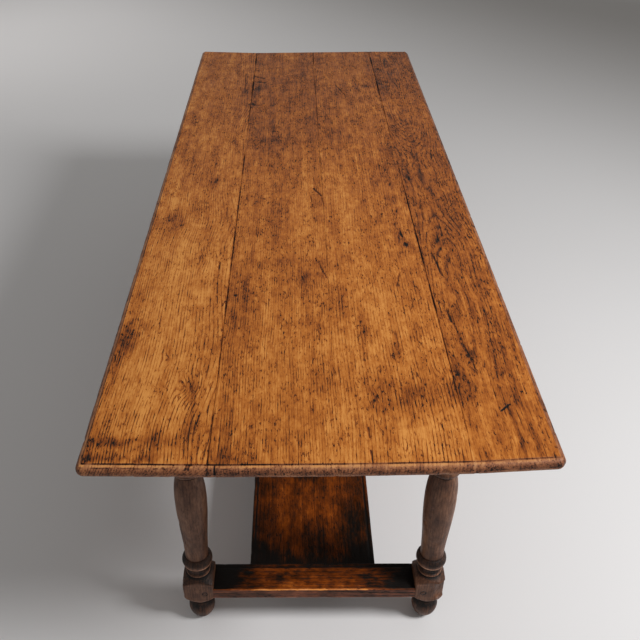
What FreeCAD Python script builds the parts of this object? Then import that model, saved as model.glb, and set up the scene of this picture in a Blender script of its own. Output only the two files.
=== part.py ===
import FreeCAD, Part
import math
import os
from FreeCAD import Vector

# Joined oak table: a plank top on four turned legs, tied by aprons, two end stretchers and a foot board.
# Millimetres. X runs across the table, Y along it, Z up. The origin is on the floor under its middle.
# Front is the end at -Y, and left is -X.

# Overall
table_length = 2220.0
table_height = 751.0

# Top planks, from left to right
left_plank_width = 213.5
left_middle_plank_width = 214.5
right_middle_plank_width = 215.5
right_plank_width = 153.5
plank_gap = 1.0
top_thickness = 23.0

# Hand-cut plank ends: how far each edge of a plank stops short of the full length
end_unevenness = 28.0
front_end_shares = (0.12, 0.0, 0.05, 0.21, 0.6)
back_end_shares = (0.1, 0.7, 0.36, 0.0, 0.0)
end_bend_radius = 90.0

# Moulded edge round the top: a small step down, a thumb round and a rounded lower edge
step_inset = 11.0
step_depth = 2.2
nose_depth = 12.0
lower_round_inset = 6.0
field_corner_radius = 3.0

# Loose tongues between the planks
tongue_length = 70.0
tongue_half_width = 26.0
tongue_thickness = 7.0
tongue_place_shares = (-0.4, -0.2, 0.0, 0.2, 0.4)

# Legs
leg_square = 70.0
leg_end_overhang = 255.0
leg_side_overhang = 135.5
foot_height = 69.0
foot_collar_height = 8.0
lower_shoulder_height = 27.0
lower_block_height = 40.0
upper_shoulder_height = 20.0
shoulder_neck_height = 9.0
bead_height = 7.0
cove_height = 19.0
ring_height = 29.0
groove_height = 4.0
collar_height = 20.0
neck_height = 41.0
upper_block_margin = 30.0

# Turned radii, as shares of half the leg's square
foot_flat_share = 0.3
foot_radius_share = 0.87
foot_neck_share = 0.6
foot_collar_share = 0.7
bead_root_share = 0.71
bead_radius_share = 0.79
cove_radius_share = 0.66
ring_root_share = 0.8
ring_radius_share = 0.98
collar_radius_share = 0.96
groove_radius_share = 0.67
neck_radius_share = 0.65
corner_reach_share = 1.45
foot_widest_share = 0.6
vase_height_shares = (0.0, 0.14, 0.29, 0.44, 0.58, 0.7, 0.8, 0.91, 1.0)
vase_radius_shares = (0.755, 0.775, 0.843, 0.912, 0.966, 0.98, 0.96, 0.87, 0.72)

# End stretchers
stretcher_setback = 1.0
stretcher_width = 71.0
stretcher_thickness = 32.0
stretcher_drop = 7.5
stretcher_round = 5.0
stretcher_tenon_length = 48.0
stretcher_tenon_width = 42.0
stretcher_tenon_thickness = 14.0

# Foot board
foot_board_width = 294.0
foot_board_thickness = 25.0
foot_board_drop = 1.5
foot_board_offset = -2.5
foot_board_round = 3.0
board_tenon_length = 32.0
board_tenon_width = 46.0
board_tenon_thickness = 10.0
board_tenon_place_shares = (-0.34, 0.0, 0.34)

# Scratched bead along the edges of the stretchers and the foot board
scratch_inset = 9.5
scratch_radius = 1.6

# Aprons
apron_height = 120.0
apron_thickness = 28.0
apron_setback = 4.0
apron_tenon_thickness = 10.0
apron_tenon_shoulder = 16.0
mortise_wall = 10.0
apron_chamfer = 3.0

# Pegs
apron_peg_diameter = 9.0
apron_peg_reach = 12.0
apron_peg_height_shares = (0.25, 0.75)
apron_peg_inset_share = 0.45
stretcher_peg_diameter = 9.5
stretcher_peg_reach = 5.0
stretcher_peg_inset_share = 0.42
board_peg_diameter = 8.0
board_peg_wood_above = 7.0
board_peg_inset_share = 0.5

# Buttons and screws that hold the top down
button_width = 42.0
button_length = 44.0
button_thickness = 20.0
button_tongue_length = 10.0
button_tongue_thickness = 8.0
long_button_place_shares = (-0.36, -0.12, 0.12, 0.36)
end_button_place_shares = (-0.2, 0.25)
screw_diameter = 5.0
screw_head_diameter = 10.0
screw_head_height = 3.0
screw_reach = 13.0
screw_point_length = 5.0

# Fits
joint_gap = 0.2
mortise_bottom_gap = 2.0
peg_gap = 0.2
cut_overrun = 5.0

# Places worked out from the sizes above
plank_widths = (left_plank_width, left_middle_plank_width, right_middle_plank_width, right_plank_width)
plank_names = ("left_plank", "left_middle_plank", "right_middle_plank", "right_plank")
joint_count = len(plank_widths) - 1
table_width = sum(plank_widths) + joint_count * plank_gap
plank_left_edges = [
    -table_width / 2 + sum(plank_widths[:i]) + i * plank_gap for i in range(len(plank_widths))
]
joint_places = [left - plank_gap / 2 for left in plank_left_edges[1:]]
top_corner_radius = field_corner_radius + step_inset
moulding_lap = field_corner_radius / 2

half_leg = leg_square / 2
leg_height = table_height - top_thickness
leg_x = table_width / 2 - leg_side_overhang
leg_y = table_length / 2 - leg_end_overhang
foot_widest_level = foot_height * foot_widest_share
low_shoulder_level = foot_height + foot_collar_height
low_block_level = low_shoulder_level + lower_shoulder_height
low_block_top = low_block_level + lower_block_height
bead_level = low_block_top + upper_shoulder_height
cove_level = bead_level + bead_height
ring_level = cove_level + cove_height
vase_level = ring_level + ring_height
high_block_level = leg_height - apron_height - upper_block_margin
high_shoulder_level = high_block_level - lower_shoulder_height
high_bead_level = high_shoulder_level - bead_height
neck_level = high_bead_level - neck_height
collar_level = neck_level - collar_height
groove_level = collar_level - groove_height
vase_height = groove_level - vase_level

stretcher_outer = leg_y + half_leg - stretcher_setback
stretcher_inner = stretcher_outer - stretcher_width
stretcher_middle = low_block_level + lower_block_height / 2 - stretcher_drop
stretcher_top = stretcher_middle + stretcher_thickness / 2
stretcher_bottom = stretcher_middle - stretcher_thickness / 2
stretcher_peg_length = half_leg + stretcher_tenon_width / 2 + stretcher_peg_reach
board_top = stretcher_top - foot_board_drop
board_middle = board_top - foot_board_thickness / 2
board_peg_length = stretcher_thickness - board_peg_wood_above

apron_bottom = leg_height - apron_height
apron_tenon_place = apron_setback + apron_thickness / 2
apron_tenon_length = leg_square - apron_tenon_place - apron_tenon_thickness / 2 - mortise_wall
apron_tenon_low = apron_bottom + apron_tenon_shoulder
apron_tenon_height = apron_height - 2 * apron_tenon_shoulder
apron_peg_length = apron_tenon_place + apron_tenon_thickness / 2 + apron_peg_reach
button_bottom = leg_height - button_thickness
screw_length = button_thickness + screw_reach

# Each apron: its name, half the span between leg middles, the distance out to them, its turn, its buttons
aprons = (
    ("front", leg_x, leg_y, 0, end_button_place_shares),
    ("right", leg_y, leg_x, 90, long_button_place_shares),
    ("back", leg_x, leg_y, 180, end_button_place_shares),
    ("left", leg_y, leg_x, -90, long_button_place_shares),
)


# Simple solids

def box(low, high):
    return Part.makeBox(high.x - low.x, high.y - low.y, high.z - low.z, low)


def block(centre, half):
    return box(centre - half, centre + half)


def rod(start, direction, radius, length):
    return Part.makeCylinder(radius, length, start, direction)


def section(start, *moves):
    # Closed face. A move is a point to go straight to, an arc's middle and end, or a list for a curve
    edges = []
    here = start
    for move in moves:
        if isinstance(move, list):
            curve = Part.BSplineCurve()
            curve.interpolate([here] + move)
            edges.append(curve.toShape())
            here = move[-1]
        elif isinstance(move, tuple):
            edges.append(Part.Arc(here, *move).toShape())
            here = move[1]
        else:
            edges.append(Part.LineSegment(here, move).toShape())
            here = move
    edges.append(Part.LineSegment(here, start).toShape())
    return Part.Face(Part.Wire(edges))


def turned_on_z(face):
    return face.revolve(Vector(0, 0, 0), Vector(0, 0, 1), 360)


def turn_about_z(solids, degrees):
    copies = [solid.copy() for solid in solids]
    for copy in copies:
        copy.rotate(Vector(0, 0, 0), Vector(0, 0, 1), degrees)
    return copies


def mirrored(solids, normal):
    return [solid.mirror(Vector(0, 0, 0), normal) for solid in solids]


def to_back(solids):
    return mirrored(solids, Vector(0, 1, 0))


def both_sides(solid):
    return [solid] + mirrored([solid], Vector(1, 0, 0))


def save(name, solids):
    shape = solids[0] if len(solids) == 1 else Part.makeCompound(solids)
    state = "valid" if shape.isValid() else "not valid"
    print(name, len(solids), "solids", round(shape.Volume), "mm3", state)
    shape.exportStep("parts/" + name + ".step")


# Top

def end_points(shares, side):
    places = [-table_width / 2] + joint_places + [table_width / 2]
    ends = [side * (table_length / 2 - share * end_unevenness) for share in shares]
    return [Vector(x, y, 0) for x, y in zip(places, ends)]


def rounded_corner(before, corner, after, outer_radius, inset):
    # Start, middle and end of the arc at a corner of an outline that is pulled in by inset
    to_before = (before - corner).normalize()
    to_after = (after - corner).normalize()
    side = 1 if to_before.cross(to_after).z < 0 else -1
    half_angle = to_before.getAngle(to_after) / 2
    bisector = (to_before + to_after).normalize()
    moved = corner + bisector * (side * inset / math.sin(half_angle))
    radius = outer_radius - side * inset
    tangent = radius / math.tan(half_angle)
    middle = moved + bisector * (radius / math.sin(half_angle) - radius)
    return moved + to_before * tangent, middle, moved + to_after * tangent


def top_outline(inset):
    # Closed wire of the top in plan, pulled in by inset, that starts along the right side
    front = end_points(front_end_shares, -1)
    back = end_points(back_end_shares, 1)[::-1]
    right_side = len(front) - 1
    corners = front[right_side:] + back + front[:right_side]
    square = [front[0], front[-1], back[0], back[-1]]
    arcs = []
    for i, corner in enumerate(corners):
        before = corners[i - 1]
        after = corners[(i + 1) % len(corners)]
        radius = top_corner_radius if corner in square else end_bend_radius
        if (corner - before).cross(after - corner).Length > 0:
            arcs.append(rounded_corner(before, corner, after, radius, inset))
    edges = []
    for arc, following in zip(arcs, arcs[1:] + arcs[:1]):
        edges.append(Part.LineSegment(arc[2], following[0]).toShape())
        edges.append(Part.Arc(*following).toShape())
    return Part.Wire(edges)


def moulding_section(place):
    # Section of the moulded edge at place, drawn inwards along -X and down from the top
    def at(inset, depth):
        return Vector(place.x - inset, place.y, table_height - depth)

    lean = math.sqrt(0.5)
    inner = step_inset + moulding_lap
    thumb_height = nose_depth - step_depth
    lower_height = top_thickness - nose_depth
    thumb_middle = at(step_inset * (1 - lean), nose_depth - thumb_height * lean)
    lower_middle = at(lower_round_inset * (1 - lean), nose_depth + lower_height * lean)
    return section(
        at(inner, step_depth),
        at(step_inset, step_depth),
        (thumb_middle, at(0, nose_depth)),
        (lower_middle, at(lower_round_inset, top_thickness)),
        at(inner, top_thickness),
    )


def whole_top():
    path = top_outline(0)
    start = path.OrderedVertexes[0].Point
    moulding = path.makePipeShell([moulding_section(start).OuterWire], True, False)
    field = Part.Face(top_outline(step_inset)).extrude(Vector(0, 0, -top_thickness))
    field.translate(Vector(0, 0, table_height))
    return field.fuse(moulding).removeSplitter()


def tongues(joint, gap):
    # The loose tongues in one plank joint, or with a gap the slots that take them
    height = table_height - top_thickness / 2
    half = Vector(tongue_half_width + gap, tongue_length / 2 + gap, tongue_thickness / 2 + gap)
    return [
        block(Vector(joint_places[joint], share * table_length, height), half)
        for share in tongue_place_shares
    ]


# Legs

def on_leg(share, height):
    return Vector(half_leg * share, 0, height)


def bulge(low_height, share, end_share, high_height):
    # Arc of a bead, cove or ring that swells or narrows to share half way up
    return on_leg(share, (low_height + high_height) / 2), on_leg(end_share, high_height)


def shoulder_up(level, block_level):
    # Arc of the shoulder under a square block, from the neck at level out past the corners
    return on_leg(1, level + shoulder_neck_height), on_leg(corner_reach_share, block_level)


def leg_blank():
    # The turned outline from the floor up, cut to the square of the timber
    vase = [
        on_leg(radius, vase_level + share * vase_height)
        for share, radius in zip(vase_height_shares, vase_radius_shares)
    ]
    outline = section(
        on_leg(0, 0),
        on_leg(foot_flat_share, 0),
        (on_leg(foot_radius_share, foot_widest_level), on_leg(foot_neck_share, foot_height)),
        on_leg(foot_collar_share, foot_height),
        on_leg(foot_collar_share, low_shoulder_level),
        shoulder_up(low_shoulder_level, low_block_level),
        on_leg(corner_reach_share, low_block_top),
        (on_leg(1, bead_level - shoulder_neck_height), on_leg(bead_root_share, bead_level)),
        bulge(bead_level, bead_radius_share, bead_root_share, cove_level),
        bulge(cove_level, cove_radius_share, ring_root_share, ring_level),
        bulge(ring_level, ring_radius_share, ring_root_share, vase_level),
        vase[0],
        vase[1:],
        on_leg(groove_radius_share, groove_level),
        on_leg(groove_radius_share, collar_level),
        on_leg(bead_root_share, collar_level),
        bulge(collar_level, collar_radius_share, bead_root_share, neck_level),
        bulge(neck_level, neck_radius_share, bead_root_share, high_bead_level),
        bulge(high_bead_level, bead_radius_share, bead_root_share, high_shoulder_level),
        shoulder_up(high_shoulder_level, high_block_level),
        on_leg(corner_reach_share, leg_height),
        on_leg(0, leg_height),
    )
    timber = box(Vector(-half_leg, -half_leg, 0), Vector(half_leg, half_leg, leg_height))
    return timber.common(turned_on_z(outline))


# Aprons with their pegs, buttons and screws, drawn for the front side and then turned into place

def apron_tenons(span, out, gap):
    # Both tenons of an apron, or with a gap the mortises in the legs
    shoulder = span - half_leg
    middle = -(out + half_leg) + apron_tenon_place
    half = apron_tenon_thickness / 2 + gap
    length = apron_tenon_length + (mortise_bottom_gap if gap else 0)
    low = Vector(shoulder, middle - half, apron_tenon_low - gap)
    high = Vector(shoulder + length, middle + half, apron_tenon_low + apron_tenon_height + gap)
    return both_sides(box(low, high))


def apron_pegs(span, out, gap):
    # The pegs through both joints of an apron, or with a gap their holes
    x = span - half_leg + apron_peg_inset_share * apron_tenon_length
    radius = apron_peg_diameter / 2 + gap
    pegs = []
    for share in apron_peg_height_shares:
        start = Vector(x, -(out + half_leg), apron_tenon_low + share * apron_tenon_height)
        pegs += both_sides(rod(start, Vector(0, 1, 0), radius, apron_peg_length + gap))
    return pegs


def apron_inner_face(out):
    return -(out + half_leg) + apron_setback + apron_thickness


def button_tongue(x, out, gap):
    # The tongue of the button at x, or with a gap the slot in the apron that takes it
    inner = apron_inner_face(out)
    half = button_width / 2 + gap
    depth = button_tongue_length + (mortise_bottom_gap if gap else 0)
    low = Vector(x - half, inner - depth, button_bottom - gap)
    high = Vector(x + half, inner + joint_gap, button_bottom + button_tongue_thickness + gap)
    return box(low, high)


def button_screw(x, out, gap):
    # A countersunk screw that points up through the button at x, or with a gap its hole
    shank = screw_diameter / 2 + gap
    tip = screw_length + gap
    screw = turned_on_z(section(
        Vector(0, 0, 0),
        Vector(screw_head_diameter / 2 + gap, 0, 0),
        Vector(shank, 0, screw_head_height),
        Vector(shank, 0, tip - screw_point_length),
        Vector(0, 0, tip),
    ))
    screw.translate(Vector(x, apron_inner_face(out) + joint_gap + button_length / 2, button_bottom))
    return screw


def button(x, out):
    inner = apron_inner_face(out) + joint_gap
    low = Vector(x - button_width / 2, inner, button_bottom)
    high = Vector(x + button_width / 2, inner + button_length, leg_height)
    body = box(low, high).fuse(button_tongue(x, out, 0)).removeSplitter()
    return body.cut(button_screw(x, out, peg_gap))


def apron(span, out, button_places):
    shoulder = span - half_leg
    outer = -(out + half_leg) + apron_setback
    inner = apron_inner_face(out)

    def at(y, z):
        return Vector(-shoulder, y, z)

    body = section(
        at(outer, leg_height),
        at(outer, apron_bottom + apron_chamfer),
        at(outer + apron_chamfer, apron_bottom),
        at(inner - apron_chamfer, apron_bottom),
        at(inner, apron_bottom + apron_chamfer),
        at(inner, leg_height),
    ).extrude(Vector(2 * shoulder, 0, 0))
    body = body.fuse(apron_tenons(span, out, 0)).removeSplitter()
    slots = [button_tongue(x, out, joint_gap) for x in button_places]
    return body.cut(apron_pegs(span, out, peg_gap) + slots)


# Stretchers and foot board, with the joints drawn at the front end

def stretcher_tenons(gap):
    # Both tenons of a stretcher, or with a gap the mortises in the legs
    shoulder = leg_x - half_leg
    length = stretcher_tenon_length + (mortise_bottom_gap if gap else 0)
    half = Vector(length / 2, stretcher_tenon_width / 2 + gap, stretcher_tenon_thickness / 2 + gap)
    return both_sides(block(Vector(shoulder + length / 2, -leg_y, stretcher_middle), half))


def stretcher_pegs(gap):
    x = leg_x - half_leg + stretcher_peg_inset_share * stretcher_tenon_length
    start = Vector(x, -leg_y - half_leg, stretcher_middle)
    radius = stretcher_peg_diameter / 2 + gap
    return both_sides(rod(start, Vector(0, 1, 0), radius, stretcher_peg_length + gap))


def board_joint_places():
    return [foot_board_offset + share * foot_board_width for share in board_tenon_place_shares]


def board_tenons(gap):
    # The foot board's tenons at the front end, or with a gap their mortises
    length = board_tenon_length + (mortise_bottom_gap if gap else 0)
    y = -stretcher_inner - length / 2
    half = Vector(board_tenon_width / 2 + gap, length / 2, board_tenon_thickness / 2 + gap)
    return [block(Vector(x, y, board_middle), half) for x in board_joint_places()]


def board_pegs(gap):
    # Pegs driven up through the stretcher and the foot board's tenons, or with a gap their holes
    y = -stretcher_inner - board_peg_inset_share * board_tenon_length
    radius = board_peg_diameter / 2 + gap
    return [
        rod(Vector(x, y, stretcher_bottom), Vector(0, 0, 1), radius, board_peg_length + gap)
        for x in board_joint_places()
    ]


def stretcher():
    shoulder = leg_x - half_leg
    outer = -stretcher_outer
    inner = -stretcher_inner
    scratch = inner - scratch_inset
    round_drop = stretcher_round * (1 - math.sqrt(0.5))

    def at(y, depth):
        return Vector(-shoulder, y, stretcher_top - depth)

    body = section(
        at(outer, stretcher_thickness),
        at(inner, stretcher_thickness),
        at(inner, 0),
        at(scratch + scratch_radius, 0),
        (at(scratch, scratch_radius), at(scratch - scratch_radius, 0)),
        at(outer + stretcher_round, 0),
        (at(outer + round_drop, round_drop), at(outer, stretcher_round)),
    ).extrude(Vector(2 * shoulder, 0, 0))
    body = body.fuse(stretcher_tenons(0)).removeSplitter()
    return body.cut(stretcher_pegs(peg_gap) + board_tenons(joint_gap) + board_pegs(peg_gap))


def foot_board():
    half_width = foot_board_width / 2
    scratch = half_width - scratch_inset
    round_start = half_width - foot_board_round
    round_middle = half_width - foot_board_round * (1 - math.sqrt(0.5))
    round_drop = half_width - round_middle

    def at(x, depth):
        return Vector(foot_board_offset + x, -stretcher_inner, board_top - depth)

    body = section(
        at(-half_width, foot_board_thickness),
        at(half_width, foot_board_thickness),
        at(half_width, foot_board_round),
        (at(round_middle, round_drop), at(round_start, 0)),
        at(scratch + scratch_radius, 0),
        (at(scratch, scratch_radius), at(scratch - scratch_radius, 0)),
        at(-scratch + scratch_radius, 0),
        (at(-scratch, scratch_radius), at(-scratch - scratch_radius, 0)),
        at(-round_start, 0),
        (at(-round_middle, round_drop), at(-half_width, foot_board_round)),
    ).extrude(Vector(0, 2 * stretcher_inner, 0))
    tenons = board_tenons(0)
    holes = board_pegs(peg_gap)
    return body.fuse(tenons + to_back(tenons)).removeSplitter().cut(holes + to_back(holes))


# Build every piece

os.makedirs("parts", exist_ok=True)

leg_cuts = stretcher_tenons(joint_gap) + stretcher_pegs(peg_gap)
leg_cuts += to_back(leg_cuts)
screws = []
plank_cuts = [slot for joint in range(joint_count) for slot in tongues(joint, joint_gap)]
for name, span, out, degrees, shares in aprons:
    places = [share * 2 * span for share in shares]
    save(name + "_apron", turn_about_z([apron(span, out, places)], degrees))
    save(name + "_apron_pegs", turn_about_z(apron_pegs(span, out, 0), degrees))
    save(name + "_buttons", turn_about_z([button(x, out) for x in places], degrees))
    screws += turn_about_z([button_screw(x, out, 0) for x in places], degrees)
    plank_cuts += turn_about_z([button_screw(x, out, peg_gap) for x in places], degrees)
    leg_cuts += turn_about_z(apron_tenons(span, out, joint_gap) + apron_pegs(span, out, peg_gap), degrees)
save("button_screws", screws)

top = whole_top()
for name, left, width in zip(plank_names, plank_left_edges, plank_widths):
    low = Vector(left, -table_length / 2 - cut_overrun, leg_height - cut_overrun)
    high = Vector(left + width, table_length / 2 + cut_overrun, table_height + cut_overrun)
    save(name, [top.common(box(low, high)).cut(plank_cuts)])
for joint, name in enumerate(("left", "middle", "right")):
    save(name + "_joint_tongues", tongues(joint, 0))

blank = leg_blank()
for end, y in (("front", -leg_y), ("back", leg_y)):
    for side, x in (("left", -leg_x), ("right", leg_x)):
        leg = blank.copy()
        leg.translate(Vector(x, y, 0))
        save(end + "_" + side + "_leg", [leg.cut(leg_cuts)])

front_stretcher = stretcher()
save("front_stretcher", [front_stretcher])
save("back_stretcher", to_back([front_stretcher]))
save("front_stretcher_pegs", stretcher_pegs(0))
save("back_stretcher_pegs", to_back(stretcher_pegs(0)))
save("foot_board", [foot_board()])
save("front_board_pegs", board_pegs(0))
save("back_board_pegs", to_back(board_pegs(0)))
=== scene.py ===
import math

import bpy
import numpy as np
from mathutils import Matrix


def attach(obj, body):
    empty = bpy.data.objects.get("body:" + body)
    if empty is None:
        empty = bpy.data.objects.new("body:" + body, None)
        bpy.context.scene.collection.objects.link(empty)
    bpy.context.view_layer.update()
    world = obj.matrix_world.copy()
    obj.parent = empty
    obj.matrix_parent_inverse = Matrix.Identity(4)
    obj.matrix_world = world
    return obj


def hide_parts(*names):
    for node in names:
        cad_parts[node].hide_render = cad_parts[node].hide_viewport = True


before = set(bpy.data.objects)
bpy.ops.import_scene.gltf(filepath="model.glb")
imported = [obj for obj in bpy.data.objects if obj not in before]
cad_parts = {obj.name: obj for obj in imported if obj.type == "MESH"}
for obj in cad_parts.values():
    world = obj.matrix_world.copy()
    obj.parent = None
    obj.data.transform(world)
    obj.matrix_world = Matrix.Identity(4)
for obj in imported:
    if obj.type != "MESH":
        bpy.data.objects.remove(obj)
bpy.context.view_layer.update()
print("frame loaded:", len(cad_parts), "nodes")

mm = 0.001  # shapes are worked out in millimetres and put into the meshes in metres


# Number helpers

def unit(value):
    # Cut to the range from 0 to 1
    return np.clip(value, 0, 1)


def smooth(low, high, value):
    # 0 below low, 1 above high, 3t^2 - 2t^3 between
    t = unit((value - low) / (high - low))
    return t * t * (3 - 2 * t)


def bell(value, width):
    # exp(-(value / width)^2): 1 at zero, fading out over the width
    return np.exp(-(value / width) ** 2)


def between(low, full, fading, high, value):
    # 1 from full to fading, 0 below low and above high, smooth on both sides
    return smooth(low, full, value) * (1 - smooth(fading, high, value))


def softMin(a, b, blend):
    # The smaller of the two, less blend * log(1 + exp(-|a - b| / blend)) where they meet
    return np.minimum(a, b) - blend * np.log1p(np.exp(-np.abs(a - b) / blend))


def cellNoise(points, cell, seed):
    # Value noise from -1 to 1: seeded random numbers at the corners of cells, blended by 3t^2 - 2t^3
    side = 24
    table = np.random.default_rng(seed).uniform(-1, 1, (side, side, side))
    place = points / np.asarray(cell, float)
    base = np.floor(place).astype(int)
    part = place - base
    part = part * part * (3 - 2 * part)
    total = np.zeros(points.shape[:-1])
    for corner in np.ndindex(2, 2, 2):
        at = (base + corner) % side
        weight = np.prod(np.where(corner, part, 1 - part), axis=-1)
        total += weight * table[at[..., 0], at[..., 1], at[..., 2]]
    return total


def noise(points, cell, seed, layers=3):
    # Sum of value noises, each half the cell and half the height of the one before
    cell = np.asarray(cell, float)
    return sum(cellNoise(points, cell / 2 ** n, seed + n) / 2 ** n for n in range(layers))


# Mesh helpers

def gridFaces(index, wrap=False):
    # Quads between neighbours of a grid of vertex numbers; wrap joins the last column to the first
    if wrap:
        index = np.concatenate([index, index[:, :1]], axis=1)
    return np.stack([index[:-1, :-1], index[:-1, 1:], index[1:, 1:], index[1:, :-1]], -1).reshape(-1, 4)


def tidyFaces(quads):
    # A quad that uses one vertex twice becomes a triangle
    twice = quads == np.roll(quads, -1, axis=1)
    triangles = [np.delete(quads[twice[:, k]], k, axis=1) for k in range(4)]
    return quads[~twice.any(axis=1)], np.concatenate(triangles)


def closedSkin(grid, start=0):
    # Faces over rows of loops: quads between the loops, and a fan of triangles from a middle vertex
    # over the first and the last loop
    rows, cols = grid.shape[:2]
    index = start + np.arange(rows * cols).reshape(rows, cols)
    around = np.roll(index, -1, axis=1)
    first = start + rows * cols
    fans = np.concatenate([
        np.stack([np.full(cols, first), around[0], index[0]], -1),
        np.stack([np.full(cols, first + 1), index[-1], around[-1]], -1),
    ])
    return gridFaces(index, True), fans


def withEnds(values):
    # The values of all loops in one list, then the means of the first and the last loop
    listed = values.reshape(-1, *values.shape[2:])
    return np.concatenate([listed, [values[0].mean(0), values[-1].mean(0)]])


def addObject(name, data):
    # A new object for a mesh, lamp or camera, linked to the scene
    thing = bpy.data.objects.new(name, data)
    bpy.context.scene.collection.objects.link(thing)
    return thing


def addPiece(name, verts, quads, ring, mark, material, nodes, triangles=None, sharp=40, lines=None):
    # One mesh from arrays: verts in mm, faces, the growth-ring value, the three mark values per vertex,
    # and how strongly the rings show
    quads, thin = tidyFaces(quads)
    if triangles is not None:
        thin = np.concatenate([thin, triangles])
    used, inverse = np.unique(np.concatenate([quads.ravel(), thin.ravel()]), return_inverse=True)
    starts = np.concatenate([np.arange(len(quads)) * 4, quads.size + np.arange(len(thin)) * 3])
    mesh = bpy.data.meshes.new(name)
    mesh.vertices.add(len(used))
    mesh.vertices.foreach_set("co", (verts[used] * mm).astype(np.float32).ravel())
    mesh.loops.add(len(inverse))
    mesh.loops.foreach_set("vertex_index", inverse.astype(np.int32))
    mesh.polygons.add(len(starts))
    mesh.polygons.foreach_set("loop_start", starts.astype(np.int32))
    mesh.update(calc_edges=True)
    for label, values in (("ring", ring), ("mark", mark), ("lines", lines)):
        if values is not None:
            kind, key = ("FLOAT", "value") if values.ndim == 1 else ("FLOAT_VECTOR", "vector")
            attribute = mesh.attributes.new(label, kind, "POINT")
            attribute.data.foreach_set(key, values[used].astype(np.float32).ravel())
    mesh.shade_smooth()
    mesh.set_sharp_from_angle(angle=math.radians(sharp))
    mesh.materials.append(material)
    piece = addObject(name, mesh)
    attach(piece, "root")
    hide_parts(*nodes)


def addTube(name, grid, ring, mark, material, nodes, slot, sharp=40):
    # One closed skin as a piece
    quads, fans = closedSkin(grid)
    addPiece(name, withEnds(grid), quads, withEnds(ring), withEnds(mark), material, nodes, fans, sharp)


# Shader helper

class Sock:
    # Wraps a socket, so that shader maths reads as Python: the operators add Math nodes
    def __init__(self, tree, socket=None):
        self.tree, self.socket = tree, socket

    def node(self, kind, settings=None, inputs=None, output=0):
        # Any shader node: its settings come first, where a ramp's stops are rows of position, red, green
        # and blue, then the values or links of its sockets
        made = self.tree.nodes.new("ShaderNode" + kind)
        for name, value in (settings or {}).items():
            if name == "stops":
                ramp = made.color_ramp
                while len(ramp.elements) < len(value):
                    ramp.elements.new(0.5)
                for element, (position, *colour) in zip(ramp.elements, value):
                    element.position, element.color = position, (*paint(*colour), 1)
            else:
                setattr(made, name, value)
        for name, value in (inputs or {}).items():
            if isinstance(value, Sock):
                self.tree.links.new(value.socket, made.inputs[name])
            else:
                made.inputs[name].default_value = value
        return Sock(self.tree, made.outputs[output] if len(made.outputs) else None)

    def math(self, operation, *values):
        # A Math node on sockets and numbers
        return self.node("Math", {"operation": operation}, dict(enumerate(values)))

    def __add__(self, other):
        return self.math("ADD", self, other)

    def __radd__(self, other):
        return self.math("ADD", other, self)

    def __sub__(self, other):
        return self.math("SUBTRACT", self, other)

    def __rsub__(self, other):
        return self.math("SUBTRACT", other, self)

    def __mul__(self, other):
        return self.math("MULTIPLY", self, other)

    def __rmul__(self, other):
        return self.math("MULTIPLY", other, self)

    def __truediv__(self, other):
        return self.math("DIVIDE", self, other)

    def __rtruediv__(self, other):
        return self.math("DIVIDE", other, self)

    def step(self, low, high):
        # 0 below low, 1 above high, smooth between
        return self.node("MapRange", {"interpolation_type": "SMOOTHSTEP"},
                         {"Value": self, "From Min": low, "From Max": high})

    def mixTo(self, factor, other, blend="MIX"):
        # This colour towards another by factor
        return self.node("Mix", {"data_type": "RGBA", "blend_type": blend},
                         {0: factor, 6: self, 7: other}, 2)

    def noise(self, scale, detail=3.0, roughness=0.6):
        # Noise on this vector, stretched by a Mapping node's scale per metre
        spread = self.node("Mapping", None, {"Vector": self, "Scale": scale})
        return self.node("TexNoise", None,
                         {"Vector": spread, "Scale": 1.0, "Detail": detail, "Roughness": roughness})


def paint(red, green, blue):
    # sRGB from 0 to 255 to the linear values that sockets take
    parts = np.array([red, green, blue]) / 255
    return tuple(np.where(parts <= 0.04045, parts / 12.92, ((parts + 0.055) / 1.055) ** 2.4).tolist())


def startMaterial(name):
    # An empty node tree, a Sock that adds nodes to it, and the piece's own coordinates
    material = bpy.data.materials.new(name)
    material.use_nodes = True
    material.node_tree.nodes.clear()
    kit = Sock(material.node_tree)
    return material, kit, kit.node("TexCoord", None, None, "Object")


def endMaterial(material, kit, sockets):
    # The shader takes its links and fixed values, and goes to the output
    shader = kit.node("BsdfPrincipled", None, sockets)
    kit.node("OutputMaterial", None, {"Surface": shader})
    return material


# Oak finishes

# Noise layers of oak: scale per metre across and along the grain, detail and roughness
oakNoise = {
    "fibre": (260, 3.5, 4, 0.65), "fine": (760, 32, 2, 0.6), "dash": (330, 84, 3, 0.6),
    "breaks": (150, 26, 2, 0.6), "patina": (66, 27, 5, 0.74), "blotch": (7, 3, 5, 0.6),
    "band": (44, 1.5, 3, 0.6), "mottle": (34, 16, 4, 0.68),
}


def alongGrain(axis, across, along):
    # Noise scale per metre, with the low one on the grain's own axis
    return tuple(along if letter == axis else across for letter in "xyz")


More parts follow.
